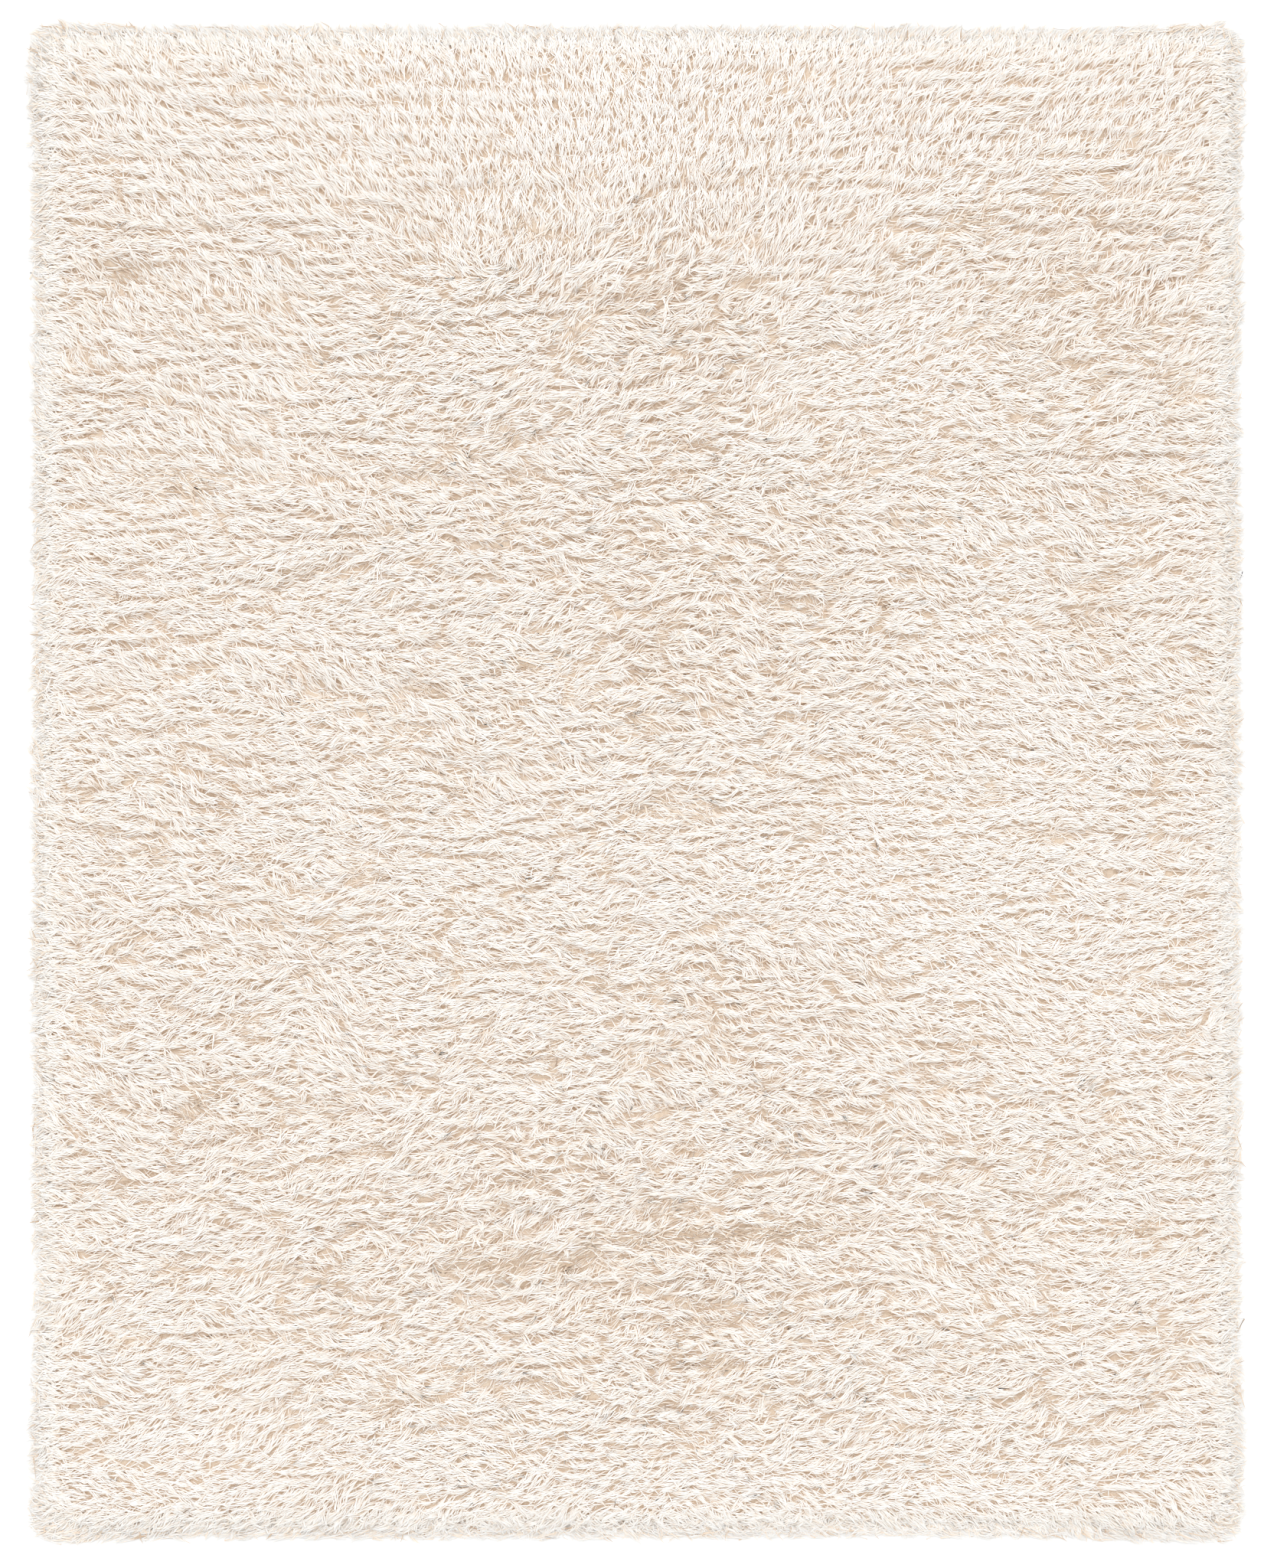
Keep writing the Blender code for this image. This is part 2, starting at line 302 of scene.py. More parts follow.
# Locks at partings: what counts as a parting, how many locks bridge it and how many fewer the deeper it is,
# how far along a lock its root ends and its tip starts, and the least of it that has to stay
PARTING_LIMIT = 0.30
BRIDGED = 0.5
BRIDGED_LESS = 0.4
ROOT_END = 0.35
TIP_START = 0.45
LEAST_LOCK = 0.4

# The pile's finer relief: the rows of tufts, best at the rug's top, and the bundles. It fades in from the
# ground's edge
ROW_PITCH = 0.0355
ROW_HEIGHT = 0.0012
ROWS_EVERYWHERE = 0.1
ROWS_AT_TOP = 0.6
TOP_BAND = (1.0, 1.2)
BUNDLE_HEIGHT = 0.0026
EDGE_BAND = (0.0, 0.06)

# The grids that the surface, the closeness and the finer forms are kept on, their margin round the CAD rug,
# how far short of the last point a place has to stay, and where the rays cast down on the CAD rug start
SURFACE_STEP = 0.009
CLOSENESS_STEP = 0.020
FINE_STEP = 0.004
RELIEF_MARGIN = 0.03
SHORT_OF_LAST = 0.001
RAY_HEIGHT = 1.0

# Colours, each as stops with their place, and the scales of the fibres and the weave
# Tones of the yarn: its own ivory, which differs at random, and painted shade: tan at the low end for yarn
# that lies deep or in a parting, grey at the top end for the rim's shaded flank
YARN_TONES_AND_PAINTED_SHADE = (
    (0.00, (0.620, 0.485, 0.370)),
    (0.22, (0.880, 0.790, 0.695)),
    (0.44, (0.957, 0.928, 0.892)),
    (0.88, (0.967, 0.960, 0.953)),
    (1.00, (0.830, 0.818, 0.810)),
)
# Yarn darker towards its root: painted shade, where the root dives under other yarn
ROOT_PAINTED_SHADE = ((0.0, (0.92, 0.83, 0.74)), (0.35, (0.99, 0.976, 0.960)), (0.7, (1.0, 1.0, 1.0)))
FIBRE_STREAKS = ((0.30, (0.95, 0.93, 0.90)), (0.60, (1.0, 1.0, 1.0)))
FIBRE_STRETCH = (5.0, 110.0, 1.0)
# The underpile's tan: painted shade for yarn that lies deep in the pile
UNDERPILE_PAINTED_SHADE_TONES = ((0.30, (0.74, 0.59, 0.45)), (0.70, (0.88, 0.77, 0.65)))
GROUND_TONES = ((0.25, (0.50, 0.44, 0.36)), (0.75, (0.66, 0.60, 0.51)))
WEAVE_SCALE = 95.0
MATT_SPECULAR = 0.15

# The studio: a pale floor, an even sky and one soft sun, and the camera's long lens. The scale holds at the
# height of the pile's flanks
FLOOR_COLOUR = (0.92, 0.92, 0.92, 1.0)
FLOOR_SIZE = 40.0
FLOOR_DROP = 0.0005
SKY_COLOUR = (0.987, 1.0, 1.0, 1.0)
SKY_STRENGTH = 1.0
SUN_FROM = (-0.14, 0.60, 1.25)
SUN_ANGLE = math.radians(30)
SUN_STRENGTH = 0.88
LIGHT_DISTANCE = 4.0
DIFFUSE_BOUNCES = 12
FILTER_WIDTH = 0.85
LENS = 85.0
SENSOR = 36.0
SCALE_HEIGHT = 0.03


# ---- Smooth unevenness and the pile's surface ----

def smooth_step(value, start=0.0, end=1.0):
    """From 0 at the start to 1 at the end, smoothly, and level beyond."""
    share = np.clip((value - start) / (end - start), 0.0, 1.0)
    return share * share * (3.0 - 2.0 * share)


def uneven(x, y, amount, length, width, seed):
    """Smooth unevenness over the rug, that amount up and down, of about that size along x and along y."""
    cells = np.random.default_rng(seed).uniform(-1.0, 1.0, (CELLS, CELLS))
    u, v = x / length + MIDDLE_CELL, y / width + MIDDLE_CELL
    column, row = np.floor(u).astype(int), np.floor(v).astype(int)
    across, up = smooth_step(u - column), smooth_step(v - row)

    def between_columns(row):
        left, right = cells[row % CELLS, column % CELLS], cells[row % CELLS, (column + 1) % CELLS]
        return left * (1 - across) + right * across

    return amount * (between_columns(row) * (1 - up) + between_columns(row + 1) * up)


class Relief:
    """Heights over the rug on a grid of that step, filled once by a function and read at any place."""

    def __init__(self, height, step):
        low, high = CAD_BOX
        self.step = step
        self.corner = np.array([low.x, low.y]) - RELIEF_MARGIN
        spans = (high.x - low.x, high.y - low.y)
        columns, rows = (int((span + 2 * RELIEF_MARGIN) / step) + 2 for span in spans)
        x, y = np.meshgrid(np.arange(columns), np.arange(rows))
        self.heights = height(self.corner[0] + x * step, self.corner[1] + y * step)

    def __call__(self, x, y):
        last_row, last_column = np.array(self.heights.shape) - 1 - SHORT_OF_LAST
        u = np.clip((x - self.corner[0]) / self.step, 0, last_column)
        v = np.clip((y - self.corner[1]) / self.step, 0, last_row)
        column, row = u.astype(int), v.astype(int)
        across, up = u - column, v - row
        low = self.heights[row, column] * (1 - across) + self.heights[row, column + 1] * across
        high = self.heights[row + 1, column] * (1 - across) + self.heights[row + 1, column + 1] * across
        return low * (1 - up) + high * up


def cad_height(x, y):
    """The height of the CAD rug's upper side at those places, from rays cast down."""
    mesh = RUG.data
    tree = BVHTree.FromPolygons([v.co for v in mesh.vertices], [p.vertices for p in mesh.polygons])
    down = Vector((0, 0, -1))
    starts = (Vector((px, py, RAY_HEIGHT)) for px, py in zip(x.ravel(), y.ravel()))
    hits = (tree.ray_cast(start, down)[0] for start in starts)
    return np.array([0.0 if hit is None else hit.z for hit in hits]).reshape(x.shape)


surface = Relief(cad_height, SURFACE_STEP)


def inside_edge(x, y):
    """How far a place lies inside the ground's rounded rectangle, and which way its nearest edge faces."""
    corner_x, corner_y = GROUND_SIZE[0] / 2 - GROUND_CORNER, GROUND_SIZE[1] / 2 - GROUND_CORNER
    past_x, past_y = np.abs(x) - corner_x, np.abs(y) - corner_y
    beyond = np.hypot(np.maximum(past_x, 0), np.maximum(past_y, 0))
    depth = GROUND_CORNER - np.where(beyond > 0, beyond, np.maximum(past_x, past_y))
    round_corner = (past_x > 0) & (past_y > 0)
    out_x = np.where(round_corner, past_x, past_x > past_y) * np.sign(x)
    out_y = np.where(round_corner, past_y, past_x <= past_y) * np.sign(y)
    return depth, np.arctan2(out_y, out_x)


def in_from_edge(x, y):
    """From 0 at the ground's edge and beyond to 1 well inside."""
    return smooth_step(inside_edge(x, y)[0], *EDGE_BAND)


def rim_reach(x, y):
    """How far past the ground the pile hangs at the rim near those places."""
    reach = RIM_REACH + CORNER_REACH * np.sin(2 * inside_edge(x, y)[1]) ** 2
    for swell_x, swell_y, swell, half_length in RIM_SWELLS:
        reach = reach + swell * np.exp(-((x - swell_x) ** 2 + (y - swell_y) ** 2) / half_length**2)
    return reach


def folds(x, y):
    """How much the pile lies folded down there, from 0 to 1 or more, and less than 0 where it is heaped."""
    share = np.zeros_like(x)
    for pixel_x, pixel_y, half_pixels, tilt, amount in FOLDS:
        fold_x = (pixel_x - RUG_MIDDLE_PIXEL[0]) * METRES_PER_PIXEL
        fold_y = (RUG_MIDDLE_PIXEL[1] - pixel_y) * METRES_PER_PIXEL
        half_length = half_pixels * METRES_PER_PIXEL
        along_x, along_y = math.cos(math.radians(tilt)), math.sin(math.radians(tilt))
        along = (x - fold_x) * along_x + (y - fold_y) * along_y
        across = (y - fold_y) * along_x - (x - fold_x) * along_y
        across = across + FOLD_WAVE * np.sin(along / FOLD_WAVE_LENGTH + fold_x * FOLD_WAVE_SHIFT)
        share += amount * np.exp(-((along / half_length) ** 4) - (across / FOLD_WIDTH) ** 2)
    return share


def patches(x, y):
    """How smooth and close the pile lies there, from 0 to about 1, and less than 0 where it is tousled."""
    share = np.zeros_like(x)
    for pixel_x, pixel_y, half_x, half_y, amount in PATCHES:
        across = (x / METRES_PER_PIXEL + RUG_MIDDLE_PIXEL[0] - pixel_x) / half_x
        along = (RUG_MIDDLE_PIXEL[1] - y / METRES_PER_PIXEL - pixel_y) / half_y
        share += amount * np.exp(-(across**2) - along**2)
    return share + uneven(x, y, *PATCH_SWELLS)


closeness = Relief(patches, CLOSENESS_STEP)


def kept(x, y, lost):
    """What is left of a form where the pile lies close, if it loses that share there."""
    return 1.0 - lost * np.clip(closeness(x, y), 0, 1)


def bundles(x, y):
    """The bundles that the locks lie in, drawn out along x: from 1 on one to -1 on the line between two."""
    wavy = y + uneven(x, y, *BUNDLE_SWERVES) + uneven(x, y, *BUNDLE_WAVERS)
    return 2.0 * smooth_step(np.abs(uneven(x, wavy, *BUNDLES)), 0.0, BUNDLE_LINE) - 1.0


crest = Relief(bundles, FINE_STEP)


def parted(x, y):
    """The folds, the gaps between bundles, and partings at random, all fading out towards the rim."""
    wavy = y + uneven(x, y, *PARTING_SWERVES)
    close = closeness(x, y)
    at_random = np.maximum(PARTED - PARTED_LESS * close + uneven(x, y, *PARTING_PATCHES), 0.0)
    at_random = at_random * smooth_step(uneven(x, wavy, *PARTINGS), *PARTING_BAND)
    gaps = np.clip(GAPS - GAPS_LESS * close, 0.0, 1.0) * smooth_step(-crest(x, y), *GAP_BAND)
    gaps = gaps * smooth_step(uneven(x, y, *GAP_PATCHES), *GAP_PATCH_BAND)
    return (folds(x, y) + at_random + gaps) * in_from_edge(x, y)


parting = Relief(parted, FINE_STEP)


def tuft_rows(x, y):
    """The way from a place to the middle of its row of tufts, and how clearly the rows show there."""
    row = (y - uneven(x, y, *ROW_SWERVES) - uneven(x, y, *ROW_WAVERS)) / ROW_PITCH
    clear = ROWS_EVERYWHERE + ROWS_AT_TOP * smooth_step(y, *TOP_BAND)
    return (np.round(row) - row) * ROW_PITCH, clear


def finer_relief(x, y):
    """The partings' depth, the rows of tufts, and small heaps and bundles between the CAD's lumps."""
    way, clear = tuft_rows(x, y)
    rows = ROW_HEIGHT * clear * np.cos(2 * np.pi * way / ROW_PITCH)
    heaps = uneven(x, y, *HEAPS) + BUNDLE_HEIGHT * crest(x, y) * kept(x, y, CLOSE_BUNDLE)
    depth = PARTING_DEPTH * np.minimum(parting(x, y), DEEPEST_PARTING)
    return (rows + heaps) * in_from_edge(x, y) - depth


finer = Relief(finer_relief, FINE_STEP)


def pile_top(x, y):
    """The height of the loose yarn's upper side: the CAD's lumps with the finer relief."""
    return surface(x, y) + finer(x, y)


def underpile_top(x, y):
    """The underpile's upper side: it follows the CAD's lumps, and curves down at the ground's edge."""
    share = np.sqrt(smooth_step(inside_edge(x, y)[0], 0.0, UNDERPILE_EDGE))
    return UNDERPILE_RIM + (surface(x, y) - UNDERPILE_DROP - UNDERPILE_RIM) * share


def slope(x, y):
    """The slope of the locks there, in radians and from -90 to 90 degrees: as combed, with swirls."""
    near = [np.exp(-(((x - comb_x) / COMB_REACH[0]) ** 2) / 2) for comb_x in COMB_COLUMNS]
    across, along = np.zeros_like(x), np.zeros_like(x)
    for comb_y, degrees in COMB_ROWS:
        near_row = np.exp(-(((y - comb_y) / COMB_REACH[1]) ** 2) / 2) + COMB_LEAST
        for near_column, angle in zip(near, degrees):
            across += near_row * near_column * math.cos(math.radians(2 * angle))
            along += near_row * near_column * math.sin(math.radians(2 * angle))
    swirl = uneven(x, y, *SWIRLS) + uneven(x, y, *SMALL_SWIRLS)
    return np.arctan2(along, across) / 2 + swirl * kept(x, y, CLOSE_SWIRL)


def heading(x, y, facing):
    """Which way the locks lie there, in radians from root to tip. A lock keeps to the slope's way nearest
    to where it faces, and turns outward at the rim."""
    turn = slope(x, y)
    turn = np.where(np.cos(turn - facing) < 0, turn + np.pi, turn)
    depth, outward = inside_edge(x, y)
    pull = RIM_PULL * (1.0 - smooth_step(depth, 0.0, RIM_TURN))
    return np.arctan2(np.sin(turn) + pull * np.sin(outward), np.cos(turn) + pull * np.cos(outward))


# ---- Meshes from arrays ----

def mesh_object(name, points, face_sizes, corners, material, uv=None):
    """A piece of the rug from arrays: its points, the size of each face, and the faces' corners in a row."""
    mesh = bpy.data.meshes.new(name)
    mesh.vertices.add(len(points))
    mesh.vertices.foreach_set("co", points.astype(np.float32).ravel())
    mesh.loops.add(len(corners))
    mesh.loops.foreach_set("vertex_index", corners.astype(np.int32))
    mesh.polygons.add(len(face_sizes))
    starts = np.concatenate([[0], np.cumsum(face_sizes)[:-1]])
    mesh.polygons.foreach_set("loop_start", starts.astype(np.int32))
    if uv is not None:
        layer = mesh.uv_layers.new(name="OFBake", do_init=False)
        layer.uv.foreach_set("vector", uv[corners].astype(np.float32).ravel())
    mesh.update(calc_edges=True)
    mesh.shade_smooth()
    mesh.materials.append(material)
    piece = bpy.data.objects.new(name, mesh)
    bpy.context.scene.collection.objects.link(piece)
    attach(piece, "root")
    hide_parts("shag_rug")
    return piece


def yarn_mesh(name, lines, sides, tones, material):
    """Each yarn as a flat ribbon that ends in a point. lines is (yarns, spans + 1, 3), and sides is
    (yarns, spans, 3). The map has a yarn's length across, and its tone up."""
    yarns, spans = sides.shape[:2]
    count = 2 * spans + 1
    points = np.empty((yarns, count, 3))
    points[:, 0:-1:2] = lines[:, :-1] - sides
    points[:, 1:-1:2] = lines[:, :-1] + sides
    points[:, -1] = lines[:, -1]
    pattern = []
    for first in range(0, count - 3, 2):
        pattern += [first, first + 1, first + 3, first + 2]
    pattern += [count - 3, count - 2, count - 1]
    corners = (np.arange(yarns)[:, None] * count + np.array(pattern)).ravel()
    face_sizes = np.tile([4] * (spans - 1) + [3], yarns)
    along = np.append(np.repeat(np.arange(spans) / spans, 2), 1.0)
    side = np.append(np.tile([-1.0, 1.0], spans), 0.0)
    uv = np.empty((yarns, count, 2))
    uv[:, :, 0] = MAP_MARGIN + (1 - 2 * MAP_MARGIN) * along
    uv[:, :, 1] = tones[:, None] + TONE_SPREAD * side
    return mesh_object(name, points.reshape(-1, 3), face_sizes, corners, material, uv.reshape(-1, 2))


# ---- Materials ----

def principled(name, roughness, sheen):
    """A material with its node tree and shader."""
    material = bpy.data.materials.new(name)
    material.use_nodes = True
    shader = material.node_tree.nodes["Principled BSDF"]
    shader.inputs["Roughness"].default_value = roughness
    shader.inputs["Sheen Weight"].default_value = sheen
    shader.inputs["Specular IOR Level"].default_value = MATT_SPECULAR
    return material, material.node_tree, shader


def node(tree, kind, **values):
    """A node with its inputs and settings set by name."""
    made = tree.nodes.new(kind)
    for name, value in values.items():
        if name in made.inputs:
            made.inputs[name].default_value = value
        else:
            setattr(made, name, value)
    return made


def colour_ramp(tree, stops, value):
    """The colour at that value between stops."""
    ramp = tree.nodes.new("ShaderNodeValToRGB")
    elements = ramp.color_ramp.elements
    while len(elements) < len(stops):
        elements.new(0.5)
    for element, (place, colour) in zip(elements, stops):
        element.position = place
        element.color = (*colour, 1.0)
    tree.links.new(value, ramp.inputs["Fac"])
    return ramp.outputs["Color"]


def multiplied(tree, first, second):
    """The product of two colours."""
    mix = node(tree, "ShaderNodeMix", data_type="RGBA", blend_type="MULTIPLY", Factor=1.0)
    tree.links.new(first, mix.inputs["A"])
    tree.links.new(second, mix.inputs["B"])
    return mix.outputs["Result"]


def finish_shader(tree, shader, colour, height, strength, distance):
    """Gives the shader its colour, and bump from that height."""
    tree.links.new(colour, shader.inputs["Base Color"])
    bump = node(tree, "ShaderNodeBump", Strength=strength, Distance=distance)
    tree.links.new(height, bump.inputs["Height"])
    tree.links.new(bump.outputs["Normal"], shader.inputs["Normal"])


def yarn_material():
    """Yarn from tan in the depth to ivory on top and greyer at the rim, by its tone in the map: the tan in
    the depth and the grey at the rim are painted shade. It is darker at its root, also painted shade, and
    has fibres along it."""
    material, tree, shader = principled("pile_yarn", roughness=0.85, sheen=0.18)
    place = node(tree, "ShaderNodeUVMap", uv_map="OFBake")
    split = tree.nodes.new("ShaderNodeSeparateXYZ")
    tree.links.new(place.outputs["UV"], split.inputs["Vector"])
    tone = colour_ramp(tree, YARN_TONES_AND_PAINTED_SHADE, split.outputs["Y"])
    # Darker towards the root: painted shade
    root = colour_ramp(tree, ROOT_PAINTED_SHADE, split.outputs["X"])
    stretch = node(tree, "ShaderNodeMapping", Scale=FIBRE_STRETCH)
    tree.links.new(place.outputs["UV"], stretch.inputs["Vector"])
    fibres = node(tree, "ShaderNodeTexNoise", Scale=1.0, Detail=2.0, Roughness=0.6)
    tree.links.new(stretch.outputs["Vector"], fibres.inputs["Vector"])
    streaks = colour_ramp(tree, FIBRE_STREAKS, fibres.outputs["Fac"])
    colour = multiplied(tree, multiplied(tree, tone, root), streaks)
    finish_shader(tree, shader, colour, fibres.outputs["Fac"], strength=0.22, distance=0.0006)
    return material


def underpile_material():
    """Matted yarn ends in shade, their tan painted shade for the depth they lie in: short tangled streaks of
    tan.
    """
    material, tree, shader = principled("pile_depth_painted_shade", roughness=0.95, sheen=0.0)
    place = tree.nodes.new("ShaderNodeTexCoord")
    tangle = node(tree, "ShaderNodeTexNoise", Scale=170.0, Detail=4.0, Roughness=0.65, Distortion=1.2)
    tree.links.new(place.outputs["Object"], tangle.inputs["Vector"])
    tone = colour_ramp(tree, UNDERPILE_PAINTED_SHADE_TONES, tangle.outputs["Fac"])
    finish_shader(tree, shader, tone, tangle.outputs["Fac"], strength=0.5, distance=0.003)
    return material


def ground_material():
    """A plain woven ground: warp and weft as two crossed waves."""
    material, tree, shader = principled("woven_ground", roughness=0.9, sheen=0.1)
    place = tree.nodes.new("ShaderNodeTexCoord")
    weave = node(tree, "ShaderNodeMath", operation="MAXIMUM")
    for socket, direction in enumerate("XY"):
        threads = node(tree, "ShaderNodeTexWave", Scale=WEAVE_SCALE, Distortion=0.4)
        threads.bands_direction = direction
        tree.links.new(place.outputs["Object"], threads.inputs["Vector"])
        tree.links.new(threads.outputs["Fac"], weave.inputs[socket])
    tone = colour_ramp(tree, GROUND_TONES, weave.outputs["Value"])
    finish_shader(tree, shader, tone, weave.outputs["Value"], strength=0.6, distance=0.001)
    return material


# ---- The ground and the underpile ----

def rounded_grid(step):
    """A grid over the ground, as (rows, columns) arrays of x and y. Its border has the round corners."""
    half_x, half_y = GROUND_SIZE[0] / 2, GROUND_SIZE[1] / 2
    columns, rows = round(2 * half_x / step), round(2 * half_y / step)
    u, v = np.meshgrid(np.linspace(-1, 1, columns + 1), np.linspace(-1, 1, rows + 1))
    x, y = u * half_x, v * half_y
    corner_x, corner_y = half_x - GROUND_CORNER, half_y - GROUND_CORNER
    past_x, past_y = np.abs(x) - corner_x, np.abs(y) - corner_y
    round_corner = (past_x > 0) & (past_y > 0)
    length = np.where(round_corner, np.hypot(past_x, past_y), 1.0)
    longest = np.maximum(past_x, past_y)
    x = np.where(round_corner, np.sign(x) * (corner_x + past_x * longest / length), x)
    y = np.where(round_corner, np.sign(y) * (corner_y + past_y * longest / length), y)
    return x, y


def slab(name, x, y, top, bottom, material):
    """A closed slab over a grid: its top faces, a wall round the border, and one flat face below."""
    rows, columns = x.shape
    index = np.arange(rows * columns).reshape(rows, columns)
    quads = np.stack([index[:-1, :-1], index[:-1, 1:], index[1:, 1:], index[1:, :-1]], -1)
    border = np.concatenate([index[0, :-1], index[:-1, -1], index[-1, :0:-1], index[:0:-1, 0]])
    foot = rows * columns + np.arange(len(border))
    wall = np.stack([foot, np.roll(foot, -1), np.roll(border, -1), border], -1)
    upper = np.stack([x, y, top], -1).reshape(-1, 3)
    lower = np.column_stack([upper[border, :2], np.full(len(border), bottom)])
    corners = np.concatenate([quads.ravel(), wall.ravel(), foot[::-1]])
    face_sizes = np.append(np.full((quads.size + wall.size) // 4, 4), len(border))
    return mesh_object(name, np.concatenate([upper, lower]), face_sizes, corners, material)


def make_ground():
    x, y = rounded_grid(GROUND_STEP)
    return slab("woven_ground", x, y, np.full_like(x, GROUND_THICK), 0.0, ground_material())


def make_underpile():
    x, y = rounded_grid(UNDERPILE_STEP)
    top = np.maximum(underpile_top(x, y), GROUND_THICK + UNDERPILE_LEAST)
    return slab("underpile", x, y, top, GROUND_THICK + UNDERPILE_GAP, underpile_material())


# ---- The loose yarn ----

def scattered(step, rng):
    """One place at random in each cell of a grid over the whole rug."""
    half_x, half_y = RUG_SIZE[0] / 2, RUG_SIZE[1] / 2
    columns, rows = round(2 * half_x / step), round(2 * half_y / step)
    u, v = np.meshgrid(np.arange(columns), np.arange(rows))
    x = (u.ravel() + rng.uniform(0, 1, u.size)) / columns * 2 * half_x - half_x
    y = (v.ravel() + rng.uniform(0, 1, v.size)) / rows * 2 * half_y - half_y
    within = inside_edge(x, y)[0] > REACH_MARGIN - rim_reach(x, y)
    return x[within], y[within]


def drawn_together(x, y):
    """The places drawn towards the bundles' crests, and towards the rows of tufts where these show."""
    way, clear = tuft_rows(x, y)
    rise = crest(x, y + CREST_PROBE) - crest(x, y - CREST_PROBE)
    return x, y + CREST_DRAW * rise + ROW_DRAW * clear * way


def lines_over(x, y, length, stray, wave, rng):
    """Lines over the pile, root to tip, and their headings. Each place is the middle of its line."""
    phase, waves = rng.uniform(0, 2 * np.pi, len(x)), rng.uniform(*LINE_WAVES, len(x))
    out_x, out_y = rng.normal(0, SIDES_MIX, (2, len(x)))
    facing = np.arctan2(y / RUG_SIZE[1] + out_y, x / RUG_SIZE[0] + out_x)
    step = length / (LINE_POINTS - 1)

    def walk(first, last):
        px, py = x.copy(), y.copy()
        way = 1 if last > first else -1
        for index in range(first, last, way):
            share = index / (LINE_POINTS - 1)
            turn = heading(px, py, facing) + stray + wave * np.sin(phase + 2 * np.pi * waves * share)
            yield px, py, turn
            ahead_x, ahead_y = step * np.cos(turn) * way, step * np.sin(turn) * way
            fall = pile_top(px + ahead_x, py + ahead_y) - pile_top(px, py)
            level = 1.0 / np.hypot(1.0, fall / step)
            px, py = px + ahead_x * level, py + ahead_y * level

    middle = LINE_POINTS // 2
    stops = list(walk(middle, -1))[:0:-1] + list(walk(middle, LINE_POINTS))
    places = np.array([(px, py) for px, py, _ in stops]).transpose(2, 0, 1)
    return places, np.unwrap(np.array([turn for *_, turn in stops]).T, axis=1)


def along_line(values, share):
    """Values along each lock's line at those shares of it, from 0 to 1. values is (locks, points, ...), and
    share is (locks, yarns, stops)."""
    place = np.clip(share, 0, 1) * (values.shape[1] - 1 - SHORT_OF_LAST)
    low = place.astype(int)
    lock = np.arange(len(values))[:, None, None]
    part = place - low
    if values.ndim == 3:
        part = part[..., None]
    return values[lock, low] * (1 - part) + values[lock, low + 1] * part


def between_partings(line, rng):
    """Where along its line each lock leaves one parting and meets the next, and whether it lies in one
    instead. Some locks lie across a parting all the same, and fewer the deeper it is."""
    share = np.linspace(0, 1, LINE_POINTS)
    depth = parting(line[..., 0], line[..., 1])
    across = rng.uniform(0, 1, len(line)) < BRIDGED - BRIDGED_LESS * depth.max(axis=1)
    within = (depth > PARTING_LIMIT) & ~across[:, None]
    first = np.max(np.where(within & (share < ROOT_END), share, 0.0), axis=1)
    last = np.min(np.where(within & (share > TIP_START), share, 1.0), axis=1)
    sunk = (within.sum(axis=1) >= LINE_POINTS / 2) | (last - first < LEAST_LOCK)
    first, last = np.where(sunk, 0.0, first), np.where(sunk, 1.0, last)
    return first[:, None, None], last[:, None, None], sunk[:, None, None]


def held_inside(x, y, reach):
    """The places, with those outside the ground drawn in so that none lies further out than reach."""
    depth, outward = inside_edge(x, y)
    out = np.maximum(-depth, 0.0)
    back = out - reach * np.tanh(out / reach)
    return x - back * np.cos(outward), y - back * np.sin(outward)


def rest_on(x, y, lift, rng):
    """The height of yarn that lies there, and never below the underpile or the floor."""
    lowest = rng.uniform(*LEAST_HEIGHT, (*x.shape[:-1], 1))
    within = inside_edge(x, y)[0] > UNDERPILE_INSET
    lowest = np.where(within, np.maximum(underpile_top(x, y) + lowest, lowest), lowest)
    return np.maximum(pile_top(x, y) + lift, lowest)


def ribbons(x, y, z, turn, roll, half):
    """Lines and half widths for yarn_mesh."""
    spans = x.shape[-1] - 1
    cos_turn, sin_turn = np.cos(turn[..., :-1]), np.sin(turn[..., :-1])
    z[..., :-1] = np.maximum(z[..., :-1], np.abs(np.sin(roll)) * half + FLOOR_GAP)
    sides = np.stack([-sin_turn * np.cos(roll), cos_turn * np.cos(roll), np.sin(roll)], -1)
    sides = sides * half[..., None]
    return np.stack([x, y, z], -1).reshape(-1, spans + 1, 3), sides.reshape(-1, spans, 3)


def fold_painted_shade(depth, rng):
    """Painted shade: how much darker yarn is that lies that deep in a parting, unevenly so, and by the
    folds' painted shade amount on average for a depth of 1, as three times the square of an even draw is 1
    on average. On a heap the depth is below 0 and the yarn comes out lighter, as painted light."""
    return FOLD_PAINTED_SHADE * depth * 3.0 * rng.uniform(0, 1, depth.shape) ** 2


def toned(tone, x, y):
    """Tones as the map has them, from the pile's darkest to its lightest, and the rim's over the rim:
    painted shade there, greyer for the rim's flank and darker still for its dark yarns between the locks.
    """
    low, high = PILE_TONES
    tone = np.clip(low + (high - low) * tone, low, high)
    rim = np.where(tone < RIM_DARK, tone - RIM_GAP_PAINTED_SHADE, RIM_FLANK_PAINTED_SHADE_TONE)
    return tone + (rim - tone) * smooth_step(-inside_edge(x, y)[0], *RIM_TONE_BAND)


def lock_lines(x, y, rng):
    """The locks' lengths, and their lines over the pile with the headings."""
    length = rng.uniform(*LOCK_LENGTH, len(x)) * kept(x, y, CLOSE_LENGTH)
    tousled = kept(x, y, CLOSE_STRAY) + np.clip(-closeness(x, y), 0, 1)
    wave = rng.normal(0, LOCK_WAVE, len(x))
    stray = rng.normal(0, LOCK_STRAY, len(x)) * tousled
    return length, *lines_over(x, y, length, stray, wave, rng)


